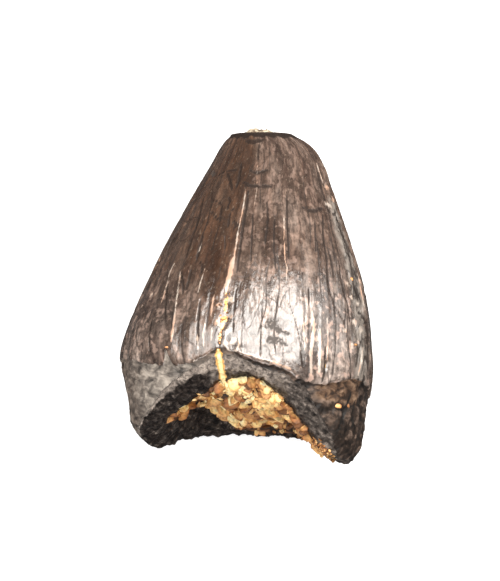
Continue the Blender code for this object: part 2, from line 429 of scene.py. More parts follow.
# Grains further along the tooth, on the upper part of the sand, are painted brighter: painted light
PAINTED_LIGHT_ABOVE = (-3.7, -3.1)
PAINTED_LIGHT_RANGE = (0.75, 1.15)
BIG_GRAINS = [(232, 401, 0.2), (244, 402, 0.2), (256, 398, 0.17), (272, 401, 0.15), (240, 390, 0.15)]
BIG_GRAIN_TONE = 0.95

# Sand in the crack, in the first two golden lines as single grains and in the third as a strip
CRACK_GRAINS = 12
CRACK_GRAIN_SIZES = (0.03, 0.06)
CRACK_GRAIN_SPREAD = 0.45
STRIP_STEP = 0.8
STRIP_SIDES = 10
STRIP_HEIGHT = 0.035
STRIP_TAPER = (0.4, 5)
# Tones of the strip, darker on its sides and brighter on top: painted shade and light
STRIP_PAINTED_LIGHT_TONES = (0.35, 0.85)

# Grains on the broken rim, scattered along pixels of the photograph, and grains stuck to the tooth: pixels
# across and down, a radius in millimetres and a tone
RIM_GRAINS = 150
RIM_SCATTER = 0.12
RIM_TONES = (0.1, 0.6)
RIM_SAND = [(300, 432), (309, 438), (320, 446), (329, 453), (336, 460)]
STUCK_GRAINS = [
    (352, 279, 0.07, 0.3),
    (167, 347, 0.06, 0.3),
    (224, 318, 0.09, 0.4),
    (337, 406, 0.1, 0.36),
    (348, 406, 0.06, 0.15),
    (355, 345, 0.05, 0.3),
]

# Noise in the materials: the size of its features in millimetres, how much longer they are along the tooth,
# its detail, its roughness, a seed, and how much it is warped
NOISES = {
    "patches": (0.9, 2, 4, 0.6, 3),
    "fine_ripples": (0.06, 3, 3, 0.6, 29),
    "ripples": (0.1, 1.2, 4, 0.65, 33),
    "swirls": (0.36, 0.6, 4, 0.6, 5, 0.5),
    "dentine_pits": (0.09, 0.8, 4, 0.6, 12),
    "break_grain": (0.16, 1, 5, 0.72, 6, 0.6),
    "break_pits": (0.07, 1, 4, 0.65, 14),
    "core_grain": (0.16, 1, 4, 0.65, 8),
    "core_pits": (0.08, 1, 3, 0.6, 18),
}
RAGGED_NOISE = (1.5, 3, 0.6, 41)
NET_NOISE = (2.2, 3)
NET_WOBBLE = 0.35
SAND_SPECKLE = 0.09

# Patterns in the enamel: a noise as above, then its stops, each a noise value and the grey or colour there
PATTERNS = {
    "streaks": ((0.1, 2.5, 4, 0.65, 9), [(0.3, 0.3), (0.5, 1), (0.7, 1.4)]),
    "blotches": ((0.42, 0.8, 3, 0.55, 71, 0.4), [(0.4, 0.55), (0.52, 1), (0.62, 1.45)]),
    "bands": ((0.3, 9, 2, 0.5, 83), [(0.42, 0.62), (0.5, 1), (0.58, 1.35)]),
    "mottle": ((0.19, 0.8, 5, 0.7, 17), [(0.36, 0.35), (0.5, 1), (0.64, 1.5)]),
    "flecks": ((0.12, 1.2, 3, 0.6, 51), [(0.6, 0), (0.7, 0.22)]),
    "blush": ((0.24, 1, 2, 0.5, 81), [(0.56, 0), (0.64, 0.6)]),
    "cracked": ((0.8, 1.5, 2, 0.5, 61), [(0.4, 0), (0.58, 0.85)]),
    "scales": ((0.3, 1.1, 3, 0.5, 65, 0.8),
               [(0.38, (0.03, 0.024, 0.02)), (0.46, (0.12, 0.102, 0.088)), (0.62, (0.195, 0.17, 0.149))]),
    # Colours of pale lines: real filled cracks, and painted highlights on some of them
    "filling_and_highlight": ((0.4, 1.5, 2, 0.5, 27), [(0.42, (0.54, 0.34, 0.24)), (0.58, (0.5, 0.43, 0.37))]),
    "specks": ((0.07, 1, 3, 0.7, 44), [(0.36, 0.3), (0.46, 1)]),
    "gloss": ((0.25, 2.5, 5, 0.65, 23), [(0.3, 0.05), (0.55, 0.1), (0.72, 0.25)]),
    "pits": ((0.06, 4, 2, 0.6, 91), [(0.47, 0), (0.57, 0.9)]),
    "pitted": ((0.9, 1.2, 2, 0.5, 95), [(0.42, 0.3), (0.58, 1)]),
}

# Colours along a noise, or for the sand along its tone
PALETTES = {
    "fresh": [(0.35, (0.034, 0.016, 0.009)), (0.52, (0.053, 0.027, 0.016)), (0.68, (0.08, 0.047, 0.031))],
    # Paler colours of worn enamel, which also paint its sheen
    "wear_and_sheen": [(0.35, (0.08, 0.062, 0.055)), (0.52, (0.175, 0.139, 0.12)), (0.68, (0.34, 0.282, 0.25))],
    "grey": [(0.32, (0.035, 0.03, 0.027)), (0.48, (0.14, 0.12, 0.103)), (0.66, (0.36, 0.315, 0.27))],
    "tan": [(0.34, (0.045, 0.033, 0.026)), (0.5, (0.135, 0.1, 0.078)), (0.68, (0.3, 0.24, 0.195))],
    "brown": [(0.36, (0.005, 0.003, 0.002)), (0.53, (0.026, 0.016, 0.011)), (0.66, (0.125, 0.084, 0.062))],
    "stained": [(0.4, (0.018, 0.01, 0.006)), (0.52, (0.075, 0.041, 0.023)), (0.66, (0.19, 0.12, 0.074))],
    "outer_break": [(0.34, (0.014, 0.011, 0.009)), (0.5, (0.24, 0.198, 0.17)), (0.66, (0.58, 0.49, 0.42))],
    "inner_break": [(0.36, (0.003, 0.002, 0.002)), (0.5, (0.016, 0.011, 0.009)),
                    (0.61, (0.07, 0.056, 0.048)), (0.73, (0.34, 0.285, 0.245))],
    "core": [(0.4, (0.03, 0.02, 0.013)), (0.48, (0.18, 0.135, 0.09)), (0.6, (0.4, 0.35, 0.26))],
    "sand": [(0, (0.02, 0.009, 0.004)), (0.2, (0.36, 0.14, 0.04)), (0.45, (0.8, 0.45, 0.17)),
             (0.75, (1, 0.75, 0.33)), (1, (1, 0.88, 0.52))],
}
VEIN = (0.024, 0.015, 0.011)
FLECK = (0.3, 0.23, 0.17)
BLUSH = (0.46, 0.32, 0.26)
CRACK_NET = (0.02, 0.011, 0.007)
# The colour of the painted shade on the flanks and of the dark rim round the broken tip
FLANK_SHADE_AND_RIM = (0.022, 0.015, 0.011)
DARK_LINE = (0.013, 0.008, 0.006)
DEEP_LINE = (0.008, 0.006, 0.005)
SMUDGE = (0.045, 0.036, 0.031)
BROWN_BESIDE_SAND = (0.22, 0.09, 0.025)
GOLD = (0.75, 0.42, 0.12)


def curve_through(points, at, around=False):
    """Heights of a smooth curve through (place, height) points, which may go right round."""
    places, heights = np.array(points, float).T
    if around:
        places = np.concatenate([places[-2:] - 360, places, places[:2] + 360])
        heights = np.concatenate([heights[-2:], heights, heights[:2]])
        at = np.mod(at, 360)
    slopes = np.gradient(heights, places)
    after = np.clip(np.searchsorted(places, at), 1, len(places) - 1)
    before = after - 1
    step = places[after] - places[before]
    t = np.clip((at - places[before]) / step, 0, 1)
    straight = heights[before] * (1 + 2 * t) * (1 - t) ** 2 + heights[after] * (3 - 2 * t) * t**2
    return straight + step * t * (1 - t) * (slopes[before] * (1 - t) - slopes[after] * t)


def smooth_step(low, high, value):
    t = np.clip((value - low) / (high - low), 0, 1)
    return t * t * (3 - 2 * t)


def between(ends, share):
    return ends[0] + (ends[1] - ends[0]) * share


def degrees_apart(angles, angle):
    return np.abs((angles - angle + 180) % 360 - 180)


def near_angle(angles, angle, reach):
    """1 at an angle, and falling smoothly to 0 beyond its reach in degrees."""
    return np.exp(-((degrees_apart(angles, angle) / reach) ** 2))


def lumps(points, kind):
    """Rounded noise over these points, of a kind that LUMPS describes."""
    height, size, octaves, seed = LUMPS[kind]
    scaled = (points / np.array(size) + seed).reshape(-1, 3).tolist()
    if octaves == 1:
        values = [noise.noise(point) for point in scaled]
    else:
        values = [noise.fractal(point, OCTAVE_FALLOFF, OCTAVE_STEP, octaves) for point in scaled]
    return height * np.array(values).reshape(points.shape[:-1])


def section(along, angles):
    """The middle of the oval section this far along the tooth, and the arm to its edge at each angle."""
    along, angles = np.broadcast_arrays(np.asarray(along, float), angles)
    rows = np.array(OUTLINE)
    left, right, low, high = (curve_through(rows[:, [0, column]], along) for column in range(1, 5))
    turn = np.radians(angles)
    middle = np.stack([(left + right) / 2, along, (low + high) / 2], axis=-1)
    arm_x = (right - left) / 2 * np.cos(turn)
    arm_z = (high - low) / 2 * np.sin(turn)
    return middle, np.stack([arm_x, np.zeros_like(along), arm_z], axis=-1)


def on_section(along, angles, inset=0.0, share=1.0):
    """Points inset from the section's edge, then drawn in to a share of the way from its middle."""
    middle, arm = section(along, angles)
    reach = np.linalg.norm(arm, axis=-1)
    return middle + arm * (share * (reach - inset) / reach)[..., None]


def skin_places(along, angles):
    """Places on a cylinder as wide as the tooth, so that patterns on it draw together towards the tip."""
    along, turn = np.broadcast_arrays(along, np.radians(angles))
    return np.stack([SKIN_RADIUS * np.cos(turn), along, SKIN_RADIUS * np.sin(turn)], axis=-1)


def enamel_edge(angles):
    """Where the enamel ends, with fine nicks and the spike of bare dentine that cuts into it."""
    edge = curve_through(ENAMEL_EDGE, angles, around=True)
    spike = np.clip(1 - degrees_apart(angles, SPIKE_ANGLE) / SPIKE_WIDTH, 0, 1) ** SPIKE_POWER
    return edge + lumps(skin_places(0.0, angles), "nicks") + SPIKE_HEIGHT * spike


def eased(count, ease=0.3):
    """Shares from 0 to 1, closer together towards both ends."""
    t = np.linspace(0, 1, count)
    return t - ease * np.sin(2 * math.pi * t) / (2 * math.pi)


def grid_angles():
    """Angles round the tooth, closer together on the side that is up."""
    turn = np.arange(SEGMENTS) * 360 / SEGMENTS
    return turn + np.degrees(FRONT_SPREAD) * np.cos(np.radians(turn))


def tip_grid(angles):
    """The broken tip, out to its rounded edge, with crumbs of the core on it."""
    shares = np.linspace(*TIP_SHARES, TIP_RINGS)[:, None]
    along = TIP_BREAK - TIP_SLANT * shares * np.sin(np.radians(angles))
    grid = on_section(along, angles, share=shares)
    inside = 1 - smooth_step(*TIP_DISH_EDGE, shares)
    grid[..., 1] -= TIP_DISH * inside
    for x, z, radius, height in TIP_CRUMBS:
        away = np.hypot(grid[..., 0] - x, grid[..., 2] - z)
        grid[..., 1] += height * np.exp(-((away / radius) ** 2))
    grid[..., 1] += lumps(grid, "core") * smooth_step(*TIP_CORE_EDGE, shares)
    return grid


def enamel_inset(along, angles):
    """How far flutes, ribs, swellings, chips and the ridge on the right take the enamel inwards."""
    skin = skin_places(along, angles)
    fade = 1 - smooth_step(*FLUTE_FADE, along)
    flutes = 0.5 - 0.5 * np.cos(np.radians((angles - CRACK_ANGLE) * FLUTES) + lumps(skin, "flute_wander"))
    ribs = lumps(skin, "ribs") * between((RIBS_LEFT_AT_TIP, 1), fade)
    ridge = RIDGE_HEIGHT * near_angle(angles, *RIDGE)
    flank = sum(near_angle(angles, angle, CHIPPED_REACH) for angle in CHIPPED_ANGLES)
    chips = CHIP_DEPTH * flank * smooth_step(*CHIP_LEVELS, lumps(skin, "chips"))
    outward = ridge + ribs + lumps(skin, "swellings") + lumps(skin, "enamel_grain")
    return chips + FLUTE_DEPTH * fade * flutes - outward


def outer_points(along, angles, inset):
    """Places on the outer wall, flat where it reaches the surface that the tooth lies on."""
    points = on_section(along, angles, inset)
    points[..., 2] = np.maximum(points[..., 2], 0)
    return points


def enamel_grid(angles):
    tip = TIP_BREAK - TIP_SLANT * np.sin(np.radians(angles)) - TIP_ROUNDING
    edge = enamel_edge(angles)
    along = tip + (edge - tip) * eased(ENAMEL_RINGS)[:, None]
    rounding = EDGE_ROUNDING * smooth_step(EDGE_ROUNDING_REACH, 0.0, along - edge)
    return outer_points(along, angles, enamel_inset(along, angles) + rounding)


def dentine_grid(angles):
    """The bare strip below the enamel, set back by its thickness and finely wrinkled."""
    edge = enamel_edge(angles)
    top = edge - DENTINE_START
    rim = np.minimum(curve_through(OUTER_RIM, angles, around=True), edge - ENAMEL_THICKNESS)
    rim = rim + np.minimum(RIM_NICKS, (top - rim) * RIM_NICKS_SHARE) * lumps(skin_places(0.0, angles), "rim")
    along = top + (rim - top) * np.linspace(0, 1, DENTINE_RINGS)[:, None]
    skin = skin_places(along, angles)
    warp = np.stack([lumps(skin, kind) for kind in ("warp_x", "warp_y", "warp_z")], axis=-1)
    round_over = RIM_ROUNDING * smooth_step(RIM_ROUNDING_REACH, 0.0, along - rim) ** 2
    lobe = smooth_step(*LOBE_REACH, degrees_apart(angles, LOBE_ANGLE)) * smooth_step(*LOBE_START, along)
    outward = lumps(skin + warp, "wrinkles") + lobe * lumps(skin, "lobe")
    return outer_points(along, angles, ENAMEL_THICKNESS + round_over - outward)


def inner_rim(angles):
    wall = curve_through(WALL, angles, around=True)
    return on_section(curve_through(INNER_RIM, angles, around=True), angles, wall)


def break_grid(rim, angles):
    """The rough fracture face, from the outer rim to the inner one."""
    step = np.linspace(0, 1, BREAK_RINGS + 1)[1:, None, None]
    grid = rim + (inner_rim(angles) - rim) * step
    grid[..., 1] += (lumps(grid, "break") - BREAK_BULGE) * np.sin(math.pi * step[..., 0])
    rough = lumps(grid, "rough_break") + lumps(grid, "fine_break")
    away = rough * smooth_step(0.0, BREAK_CALM, step[..., 0])
    grid[..., 1] += away
    grid[..., 2] += BREAK_LEAN * away
    return grid


def cavity_grid(angles):
    wall = curve_through(WALL, angles, around=True)
    rim = inner_rim(angles)[..., 1]
    step = np.linspace(0, CAVITY_LAST, CAVITY_RINGS + 1)[1:, None]
    along = rim + (CAVITY_END - rim) * step
    return on_section(along, angles, wall, (1 - step) ** CAVITY_TAPER)


def camera_axes():
    """The direction from the target to the camera, and the picture's upward direction."""
    turn = math.radians(CAMERA_ELEVATION)
    away = np.array([0.0, -math.cos(turn), math.sin(turn)])
    up = np.array([0.0, math.sin(turn), math.cos(turn)])
    return away, up


def seen_at(x, y, tree):
    """The place on a surface that the camera sees at a pixel of the photograph."""
    away, up = camera_axes()
    eye = np.array(CAMERA_TARGET) + away * CAMERA_DISTANCE
    right = (x - PHOTO_SIZE[0] / 2) / PIXELS_PER_MM
    upward = (PHOTO_SIZE[1] / 2 - y) / PIXELS_PER_MM
    target = np.array(CAMERA_TARGET) + np.array([right, 0, 0]) + up * upward
    place = tree.ray_cast(Vector(eye), Vector(target - eye).normalized())[0]
    return None if place is None else np.array(place)


def surface_tree(mesh):
    """A search tree of a mesh's surface, in millimetres."""
    points = [vertex.co / MM for vertex in mesh.vertices]
    return bvhtree.BVHTree.FromPolygons(points, [face.vertices for face in mesh.polygons])


def line_places(points, tree, step=1.0):
    """Places a pixel apart along a line through these pixels, carried onto the surface."""
    points = np.array(points, float)
    lengths = np.concatenate([[0], np.cumsum(np.linalg.norm(np.diff(points, axis=0), axis=1))])
    at = np.arange(0, lengths[-1] + step / 2, step)
    across = np.interp(at, lengths, points[:, 0])
    down = np.interp(at, lengths, points[:, 1])
    found = [seen_at(x, y, tree) for x, y in zip(across, down)]
    shares = at / lengths[-1]
    return [(place, share) for place, share in zip(found, shares) if place is not None]


def tapered(share, at_end, opening):
    """How wide a line is at this share of its length: 1, or less towards its ends."""
    return min(1.0, at_end + opening * min(share, 1 - share))


def line_field(lines, points, tree, full_width):
    """How near each point is to the nearest line: 1 on it and 0 away from it. Lines taper at their ends, and
    those narrower than the full width are fainter."""
    samples = []
    for width, *pixels in lines:
        strength = between((LINE_FAINTEST, 1.0), width / max(full_width, width))
        for place, share in line_places(pixels, tree, LINE_STEP):
            samples.append((place, width * LINE_REACH * tapered(share, *LINE_TAPER), strength))
    return nearness(samples, points)


def nearness(samples, points, power=2):
    """The closeness of points to sample places, each of which has its own reach and strength."""
    tree = kdtree.KDTree(len(samples))
    for index, (place, _, _) in enumerate(samples):
        tree.insert(Vector(place), index)
    tree.balance()
    flat = points.reshape(-1, 3)
    ragged = 1 + lumps(flat, "line_edges")
    field = np.zeros(len(flat))
    for index, point in enumerate(flat.tolist()):
        _, sample, distance = tree.find(point)
        _, reach, strength = samples[sample]
        share = distance / (reach * ragged[index])
        if share < FARTHEST_SHARE:
            field[index] = strength * math.exp(-(share**power))
    return field.reshape(points.shape[:-1])


def inward(points, angles, depth):
    """Points moved towards the tooth's axis by a depth for each."""
    turn = np.radians(np.broadcast_to(angles, depth.shape))
    outward = np.stack([np.cos(turn), np.zeros_like(turn), np.sin(turn)], axis=-1)
    return points - outward * depth[..., None]


def hairlines(along, angles):
    """Long hairline cracks at scattered angles, each of which wanders a little."""
    draw = random.Random(SEED + 2)
    along, angles = np.broadcast_arrays(along, angles)
    field = np.zeros(along.shape)
    for _ in range(HAIRLINES):
        middle, half, wander, wave, phase, angle, lean, width, strength = (
            draw.uniform(*ends) for ends in HAIR_RANGES)
        at = angle + lean * (along - middle) / half + wander * np.sin(wave * along + phase)
        away = np.radians(degrees_apart(angles, at)) * SKIN_RADIUS
        ends = smooth_step(half, HAIR_FULL_SHARE * half, np.abs(along - middle))
        field = np.maximum(field, ends * strength * np.exp(-((away / width) ** 2)))
    return field


def wear_and_sheen_field(along, angles):
    """How worn the enamel is, with painted sheen that makes it paler, which changes both round the tooth and
    along it.
    """
    rows = np.array(WEAR_AND_SHEEN)
    near_tip, near_base = (curve_through(rows[:, [0, column]], angles, around=True) for column in (1, 2))
    return between((near_base, near_tip), smooth_step(*WEAR_AND_SHEEN_BETWEEN, along))


def flank_painted_shade(along, angles):
    """How much painted shade darkens the flanks, in bands that wander and fade along the tooth."""
    places = skin_places(along, angles)
    wandering = angles + lumps(places, "flank_shade_wander")
    darkening = sum(strength * near_angle(wandering, angle, reach) for angle, reach, strength in FLANK_PAINTED_SHADE)
    return darkening * np.clip(FLANK_SHADE_MIDDLE + lumps(places, "flank_shade_fade"), FLANK_SHADE_LEAST, 1)


def facing_up(angles):
    """1 on the side of the tooth that is up, and 0 underneath."""
    return smooth_step(*FACING, np.sin(np.radians(angles)))


def fracture_shade(inside, angles):
    """How far in from the broken rim each point is, raised on the darker parts of the face. Further in the
    face is darker, partly its own colour and partly painted shade; on the left and underneath it is raised by
    painted shade, where the far wall lies in shadow, and on the lobe by its darker colour.
    """
    reach = between(LEFT_REACHES, smooth_step(*LEFT_NARROWS, angles % 360))
    left = smooth_step(*LEFT_FROM, angles % 360) * smooth_step(0.0, reach, inside)
    lobe = smooth_step(*LOBE_SHADE_REACH, degrees_apart(angles, LOBE_ANGLE))
    shades = (LEFT_PAINTED_SHADE * left, LOBE_SHADE * lobe, UNDER_PAINTED_SHADE * (1 - facing_up(angles)))
    return np.maximum.reduce(np.broadcast_arrays(inside, *shades))


def stain_field(along, angles):
    start, full, fading, gone = STAIN_ANGLES
    across = smooth_step(start, full, angles) * smooth_step(gone, fading, angles)
    return across * smooth_step(*STAIN_END, along)


def set_points(mesh, name, values):
    """Stores a number or a vector for each of a mesh's points."""
    kind, key = ("FLOAT", "value") if values.ndim == 1 else ("FLOAT_VECTOR", "vector")
    attribute = mesh.attributes.new(name, kind, "POINT")
    attribute.data.foreach_set(key, np.ascontiguousarray(values, np.float32).ravel())


def grid_faces(rings, count, first=0):
    """The four-sided faces between the rings of a grid whose points start at this index."""
    start = first + np.arange(rings - 1)[:, None] * count
    here = np.arange(count)
    beside = (here + 1) % count
    corners = [start + here, start + beside, start + count + beside, start + count + here]
    return np.stack(corners, axis=-1).reshape(-1, 4).tolist()


def closed_grid(grid, last):
    """The points and faces of a closed body: a grid of rings with a fan at either end."""
    rings, count = grid.shape[:2]
    points = np.vstack([grid[0].mean(axis=0), grid.reshape(-1, 3), last]) + FRAME_SHIFT
    here = range(count)
    beside = [(a + 1) % count for a in here]
    end = len(points) - 1
    last_ring = end - count
    tip_fan = [(0, 1 + b, 1 + a) for a, b in zip(here, beside)]
    end_fan = [(last_ring + a, last_ring + b, end) for a, b in zip(here, beside)]
    return points, tip_fan + grid_faces(rings, count, 1) + end_fan


def add_object(name, data):
    made = bpy.data.objects.new(name, data)
    bpy.context.scene.collection.objects.link(made)
    return made


def add_piece(name, mesh):
    piece = add_object(name, mesh)
    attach(piece, "root")
    return piece


def padded(field):
    """A field over a grid with a value for the single point at either end."""
    flat = field.reshape(-1, *field.shape[2:])
    return np.concatenate([flat[:1], flat, flat[-1:]])


def make_tooth(materials):
    """The tooth, with the fields that its materials read; a zone is a place in their list."""
    angles = grid_angles()
    dentine = dentine_grid(angles)
    fracture = break_grid(dentine[-1], angles)
    parts = [tip_grid(angles), enamel_grid(angles), dentine, fracture, cavity_grid(angles)]
    grid = np.concatenate(parts)
    counts = [len(part) for part in parts]
    zone = np.repeat([3, 0, 1, 2, 2], counts)
    is_enamel = (zone == 0)[:, None]
    is_outside = (zone <= 1)[:, None]
    along = grid[..., 1]
    skin = np.where(is_outside[..., None], skin_places(along, angles), grid)
    placed = grid + FRAME_SHIFT
    tree = bvhtree.BVHTree.FromPolygons(placed.reshape(-1, 3).tolist(), grid_faces(*grid.shape[:2]))
    facing = facing_up(angles)
    kinds = ((DARK_LINES, DARK_FULL_WIDTH), (PALE_LINES, PALE_FULL_WIDTH), (SMUDGE_LINES, 0), (GOLD_LINES, 0))
    dark, lines, smudges, gold = (facing * line_field(rows, placed, tree, full) for rows, full in kinds)
    seen = [(seen_at(x, y, tree), radius, 1.0) for x, y, radius in PALE_SPOTS]
    spots = facing * nearness([sample for sample in seen if sample[0] is not None], placed, SPOT_POWER)
    hair = hairlines(along, angles) * is_enamel * (1 - HAIR_HIDDEN * facing)
    hair = hair * (1 - np.clip(lines + gold, 0, 1))
    below_tip = (parts[1][0, :, 1] - along) / (1 + lumps(skin_places(0.0, angles), "tip_stain"))
    rim = smooth_step(*TIP_RIM, below_tip) * is_enamel
    dark = np.maximum(dark, rim)
    depth = is_outside * (DARK_DEPTH * dark + GOLD_DEPTH * gold) + HAIR_DEPTH * hair
    depth = depth - PALE_HEIGHT * lines * is_enamel
    grid = inward(grid, angles, depth)
    grid[..., 2] = np.maximum(grid[..., 2], 0)
    points, faces = closed_grid(grid, section(CAVITY_END, np.array([0.0]))[0][0])
    mesh = bpy.data.meshes.new("tooth")
    mesh.from_pydata((points * MM).tolist(), [], faces)
    face_zones = np.repeat(zone[[0, *range(1, len(zone)), -1]], SEGMENTS)
    mesh.polygons.foreach_set("material_index", face_zones)
    for made_of in materials:
        mesh.materials.append(made_of)
    mesh.shade_smooth()
    inside = np.concatenate([np.zeros(sum(counts[:3])), np.linspace(0, 1, counts[3]), np.ones(counts[4])])
    fields = {
        "dark": np.maximum(dark, hair),
        "pale": np.maximum(lines, SPOT_STRENGTH * spots) * is_enamel,
        "gold": gold,
        # Wear, together with painted sheen that makes the right side and upper middle paler
        "wear_and_sheen": wear_and_sheen_field(along, angles),
        # Painted shade along the flanks, together with the dark rim round the broken tip
        "darkening": np.maximum(flank_painted_shade(along, angles), TIP_RIM_DIRT * rim),
        "smudge": smudges,
        "brown": curve_through(BROWN, angles, around=True) * np.ones_like(along),
        "stain": stain_field(along, angles),
        "scaly": near_angle(angles, *SCALY) * smooth_step(*SCALY_END, along),
        # How far in from the rim, with painted shade on the left and underneath
        "inside": fracture_shade(inside[:, None], angles),
        "skin": skin,
    }
    for name, field in fields.items():
        set_points(mesh, name, padded(field))
    piece = add_piece("fossil_tooth", mesh)
    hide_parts("tooth")
    return surface_tree(mesh)


def sand_surface(share, angles):
    """Places on the sand's lumpy face, from near its middle out to the cavity's wall."""
    rim = inner_rim(angles)
    middle = section(SAND_MIDDLE, np.array([0.0]))[0][0]
    place = middle + (rim - middle) * share[..., None]
    place[..., 1] = SAND_MIDDLE + (rim[..., 1] - SAND_MIDDLE) * share**SAND_CLIMB
    hollow = HOLLOW_DEPTH * np.exp(-(((place[..., 0] - HOLLOW_MIDDLE) / HOLLOW_REACH) ** 2))
    place[..., 1] += (lumps(place, "sand") + hollow) * (1 - share**SAND_EDGE_POWER)
    return place


def sand_base():
    """The sand's body as points, faces and tones: its lumpy face, and a blunt end in the cavity. Its tones
    are dark, and darker where its folds sink: painted shade for the gaps between grains.
    """
    angles = np.arange(SAND_SEGMENTS) * 360 / SAND_SEGMENTS
    share = np.linspace(*SAND_SHARES, SAND_RINGS)[:, None] * np.ones(SAND_SEGMENTS)
    face = sand_surface(share, angles)
    face[..., 1] += SAND_FOLD_HEIGHT * lumps(face, "sand_folds") * smooth_step(*SAND_FOLD_EDGE, share)
    wall = curve_through(WALL, angles, around=True)
    rim = inner_rim(angles)[:, 1]
    back = [on_section(rim + depth, angles, wall, drawn_in) for depth, drawn_in in SAND_BACK]
    grid = np.concatenate([np.stack(back), face])
    points, faces = closed_grid(grid, grid[-1].mean(axis=0))
    # Painted shade: darker where the folds sink deeper
    tones = np.clip(-SAND_FOLD_SHADE * lumps(grid, "sand_folds"), 0, 1).reshape(-1)
    return points.tolist(), faces, [SAND_END_TONE, *tones.tolist(), SAND_END_TONE]


def grain_shape(draw):
    """A flake of radius 1 cut from a ball: its points, its faces, and how near its edge each is."""
    ball = bmesh.new()
    bmesh.ops.create_icosphere(ball, subdivisions=2, radius=1)
    ball.verts.index_update()
    points = np.array([vertex.co[:] for vertex in ball.verts])
    faces = [[vertex.index for vertex in face.verts] for face in ball.faces]
    ball.free()
    for _ in range(GRAIN_CUTS):
        way = np.array([draw.gauss(0, 1) for _ in range(3)])
        way /= np.linalg.norm(way)
        beyond = np.clip(points @ way - draw.uniform(*GRAIN_CUT_DEPTHS), 0, None)
        points = points - beyond[:, None] * way
    edge = np.linalg.norm(points[:, :2], axis=1) ** 2
    tilt = Euler((draw.gauss(0, GRAIN_TILT), draw.gauss(0, GRAIN_TILT), draw.uniform(0, math.pi)))
    return points * GRAIN_STRETCH @ np.array(tilt.to_matrix()).T, faces, edge


def grain_mesh(name, base, grains, made_of, draw):
    """One mesh of a base and of grains, each with a place, a radius and a tone."""
    points, faces, tones = base
    for place, radius, tone in grains:
        shape, sides, edge = grain_shape(draw)
        start = len(points)
        points += (place + shape * radius).tolist()
        faces += [[start + index for index in side] for side in sides]
        # Darker towards the edge: partly an orange rim, partly painted shade between grains
        shade = 1 - GRAIN_EDGE_SHADE * (edge - GRAIN_EDGE_START)
        tones += np.clip(tone * shade, DARKEST_TONE, 1).tolist()
    mesh = bpy.data.meshes.new(name)
    mesh.from_pydata((np.array(points) * MM).tolist(), [], faces)
    mesh.materials.append(made_of)
    set_points(mesh, "tone", np.array(tones))
    mesh.shade_smooth()
    mesh.set_sharp_from_angle(angle=math.radians(GRAIN_SHARP_ANGLE))
    return mesh


def make_sediment(made_of):
    draw = random.Random(SEED)
    grains = []
    for _ in range(GRAINS):
        angle = np.array([draw.uniform(0, 360)])
        share = np.array([LAST_SHARE * math.sqrt(draw.random())])
        if draw.random() < RIM_SHARE:
            share[0] = draw.uniform(*RIM_SHARES)
            angle[0] = draw.uniform(*RIM_ANGLES)
        radius = between(GRAIN_SIZES, draw.random() ** GRAIN_SIZE_POWER)
        place = sand_surface(share, angle)[0] + FRAME_SHIFT
        if place[0] < FINE_LEFT_OF:
            radius *= FINE_SHARE
        place[1] += radius * GRAIN_SINK
        # Painted light: grains on the upper part of the sand are brighter
        tone = draw.uniform(*GRAIN_TONES) * between(PAINTED_LIGHT_RANGE, smooth_step(*PAINTED_LIGHT_ABOVE, place[1]))
        grains.append((place, radius, tone * (1 + float(lumps(place, "sand_tones")))))
    tree = surface_tree(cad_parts["sediment"].data)
    for x, y, radius in BIG_GRAINS:
        place = seen_at(x, y, tree)
        if place is not None:
            grains.append((place, radius, BIG_GRAIN_TONE))
    piece = add_piece("packed_sand", grain_mesh("sediment", sand_base(), grains, made_of, draw))
    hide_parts("sediment")


def sand_strips(lines, tree):
    """Packed sand along lines, as points, faces and tones: half-sunk bars, painted brighter on top and darker
    on their sides as painted light and shade.
    """
    points, faces, tones = [], [], []
    here = np.arange(STRIP_SIDES)
    turns = here[:, None] * 2 * math.pi / STRIP_SIDES
    for width, *pixels in lines:
        start = len(points)
        rows = line_places(pixels, tree, STRIP_STEP)
        headings = np.gradient(np.array([place for place, _ in rows]), axis=0)
        for (place, share), heading in zip(rows, headings):
            out = np.array(tree.find_nearest(Vector(place))[1])
            across = np.cross(heading, out)
            across *= width / 2 * tapered(share, *STRIP_TAPER) / np.linalg.norm(across)
            ring = across * np.cos(turns) + out * np.sin(turns) * STRIP_HEIGHT
            points += (place + ring * (1 + lumps(place + ring, "strips")[:, None])).tolist()
            # Painted light and shade: brighter on the bar's top, darker on its sides
            tones += between(STRIP_PAINTED_LIGHT_TONES, np.clip(np.sin(turns[:, 0]), 0, 1)).tolist()
        faces += grid_faces(len(rows), STRIP_SIDES, start)
        faces.append((start + here)[::-1].tolist())
        faces.append((len(points) - STRIP_SIDES + here).tolist())
    return points, faces, tones


def make_crack_fill(made_of, tree):
    """Sand held in the wide part of the main crack, and single grains stuck to the tooth."""
    draw = random.Random(SEED + 1)
    grains = []
    for width, *pixels in GOLD_LINES[:2]:
        places = line_places(pixels, tree)
        for _ in range(CRACK_GRAINS):
            place, _ = draw.choice(places)
            across = draw.uniform(-CRACK_GRAIN_SPREAD, CRACK_GRAIN_SPREAD) * width
            grains.append((place + np.array([across, 0, 0]), draw.uniform(*CRACK_GRAIN_SIZES), draw.random()))
    places = line_places(RIM_SAND, tree)
    for _ in range(RIM_GRAINS):
        place = draw.choice(places)[0] + [draw.gauss(0, RIM_SCATTER) for _ in range(3)]
        place = np.array(tree.find_nearest(Vector(place))[0])
        grains.append((place, draw.uniform(*CRACK_GRAIN_SIZES), draw.uniform(*RIM_TONES)))
    for x, y, radius, tone in STUCK_GRAINS:
        grains.append((seen_at(x, y, tree), radius, tone))
    strip = sand_strips(GOLD_LINES[2:3], tree)
    piece = add_piece("crack_sand", grain_mesh("crack_sand", strip, grains, made_of, draw))


def rgba(colour):
    """A colour or a grey as four numbers."""
    return (*colour, 1) if isinstance(colour, tuple) else (colour, colour, colour, 1)


